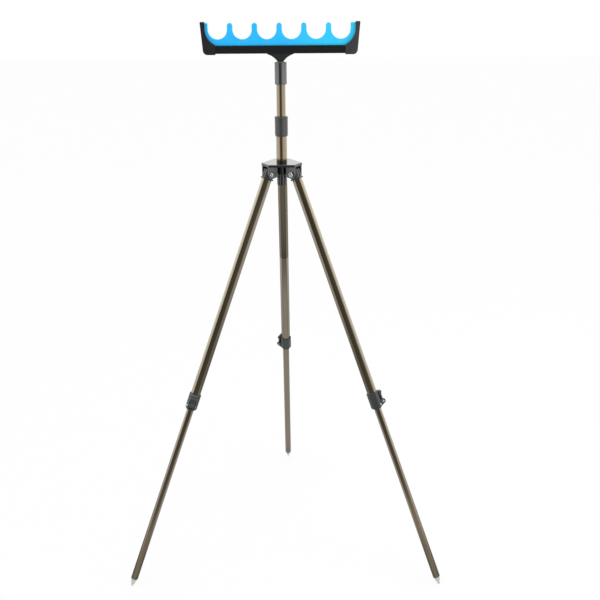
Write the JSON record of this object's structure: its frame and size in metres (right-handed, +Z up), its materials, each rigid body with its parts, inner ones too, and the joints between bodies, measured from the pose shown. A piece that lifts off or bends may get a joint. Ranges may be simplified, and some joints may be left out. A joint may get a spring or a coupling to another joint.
{
  "type": "rod tripod",
  "caption": "Folding tripod with telescopic hexagonal legs, lever clamps and ground spikes, a short extending mast and a rack of round cradles that carries fishing rods.",
  "frame": {"origin": "on the ground, under the middle of the box round the three spread legs; the mast's axis stands at X 0, Y -96.25 mm", "axes": "+Z up the mast, +X along the rack to the viewer's right, +Y towards the rear leg, so the picture looks along +Y"},
  "size_m": [0.669, 0.5816, 1.1651],
  "materials": {
    "anodised_bronze": "bronze anodised, satin",
    "glossy_black": "glossy moulded",
    "graphite_plastic": "finely grained, moulded",
    "black_extrusion": "black anodised, satin",
    "blue_comb": "smooth, matt",
    "polished_steel": "polished",
    "zinc_spike": "zinc plated, dull",
    "bush_plastic": "natural",
    "pad_rubber": "matt",
    "brass_insert": "turned"
  },
  "bodies": {
    "hub_and_mast": {"hub": "glossy_black", "mast_plug": "bush_plastic", "mast_bolt": "polished_steel", "lower_mast_tube": "anodised_bronze", "mast_collet": "bush_plastic", "pivot_bolt_rear": "polished_steel", "pivot_nut_rear": "polished_steel", "pivot_bolt_left": "polished_steel", "pivot_nut_left": "polished_steel", "pivot_bolt_right": "polished_steel", "pivot_nut_right": "polished_steel"},
    "mast_lock": {"mast_lock_collar": "graphite_plastic"},
    "upper_mast": {"upper_mast_tube": "anodised_bronze", "mast_stop": "bush_plastic", "rack_socket": "glossy_black", "socket_insert": "brass_insert"},
    "rack": {"rack_stud": "polished_steel", "rack_bracket": "graphite_plastic", "rack_bar": "black_extrusion", "rod_comb": "blue_comb", "end_cap_left": "graphite_plastic", "end_cap_right": "graphite_plastic", "bracket_screw_left": "polished_steel", "bracket_screw_right": "polished_steel", "cap_screw_left": "polished_steel", "cap_screw_right": "polished_steel"},
    "leg_rear": {"leg_fitting_rear": "graphite_plastic", "upper_leg_tube_rear": "anodised_bronze", "clamp_collar_rear": "graphite_plastic", "brake_pad_rear": "pad_rubber", "lever_pin_rear": "polished_steel", "collar_screw_rear": "polished_steel"},
    "lever_rear": {"clamp_lever_rear": "graphite_plastic"},
    "lower_leg_rear": {"lower_leg_tube_rear": "anodised_bronze", "slide_bush_rear": "bush_plastic", "ground_spike_rear": "zinc_spike"},
    "leg_left": {"leg_fitting_left": "graphite_plastic", "upper_leg_tube_left": "anodised_bronze", "clamp_collar_left": "graphite_plastic", "brake_pad_left": "pad_rubber", "lever_pin_left": "polished_steel", "collar_screw_left": "polished_steel"},
    "lever_left": {"clamp_lever_left": "graphite_plastic"},
    "lower_leg_left": {"lower_leg_tube_left": "anodised_bronze", "slide_bush_left": "bush_plastic", "ground_spike_left": "zinc_spike"},
    "leg_right": {"leg_fitting_right": "graphite_plastic", "upper_leg_tube_right": "anodised_bronze", "clamp_collar_right": "graphite_plastic", "brake_pad_right": "pad_rubber", "lever_pin_right": "polished_steel", "collar_screw_right": "polished_steel"},
    "lever_right": {"clamp_lever_right": "graphite_plastic"},
    "lower_leg_right": {"lower_leg_tube_right": "anodised_bronze", "slide_bush_right": "bush_plastic", "ground_spike_right": "zinc_spike"}
  },
  "joints": [
    {"name": "mast_lock_turn", "type": "hinge", "parent": "hub_and_mast", "child": "mast_lock", "pos_m": [0, -0.09625, 0.9613], "axis": [0, 0, 1], "range_deg": [0, 120]},
    {"name": "mast_slide", "type": "slide", "parent": "hub_and_mast", "child": "upper_mast", "axis": [0, 0, -1], "range_m": [0, 0.041]},
    {"name": "rack_turn", "type": "hinge", "parent": "upper_mast", "child": "rack", "pos_m": [0, -0.09625, 1.089], "axis": [0, 0, 1], "range_deg": [-180, 180]},
    {"name": "leg_fold_rear", "type": "hinge", "parent": "hub_and_mast", "child": "leg_rear", "pos_m": [0, -0.06525, 0.8675], "axis": [-1, 0, 0], "range_deg": [0, 22.19]},
    {"name": "lever_swing_rear", "type": "hinge", "parent": "leg_rear", "child": "lever_rear", "pos_m": [-0.0129, 0.13468, 0.39728], "axis": [-0.5, -0.8018, -0.3272], "range_deg": [0, 105]},
    {"name": "leg_slide_rear", "type": "slide", "parent": "leg_rear", "child": "lower_leg_rear", "axis": [0, -0.3778, 0.9259], "range_m": [0, 0.39]},
    {"name": "leg_fold_left", "type": "hinge", "parent": "hub_and_mast", "child": "leg_left", "pos_m": [-0.02685, -0.11175, 0.8675], "axis": [0.5, -0.866, 0], "range_deg": [0, 22.19]},
    {"name": "lever_swing_left", "type": "hinge", "parent": "leg_left", "child": "lever_left", "pos_m": [-0.19354, -0.22289, 0.39728], "axis": [0.9444, -0.0321, -0.3272], "range_deg": [0, 105]},
    {"name": "leg_slide_left", "type": "slide", "parent": "leg_left", "child": "lower_leg_left", "axis": [0.3272, 0.1889, 0.9259], "range_m": [0, 0.39]},
    {"name": "leg_fold_right", "type": "hinge", "parent": "hub_and_mast", "child": "leg_right", "pos_m": [0.02685, -0.11175, 0.8675], "axis": [0.5, 0.866, 0], "range_deg": [0, 22.19]},
    {"name": "lever_swing_right", "type": "hinge", "parent": "leg_right", "child": "lever_right", "pos_m": [0.20644, -0.20054, 0.39728], "axis": [-0.4444, 0.8339, -0.3272], "range_deg": [0, 105]},
    {"name": "leg_slide_right", "type": "slide", "parent": "leg_right", "child": "lower_leg_right", "axis": [-0.3272, 0.1889, 0.9259], "range_m": [0, 0.39]}
  ]
}
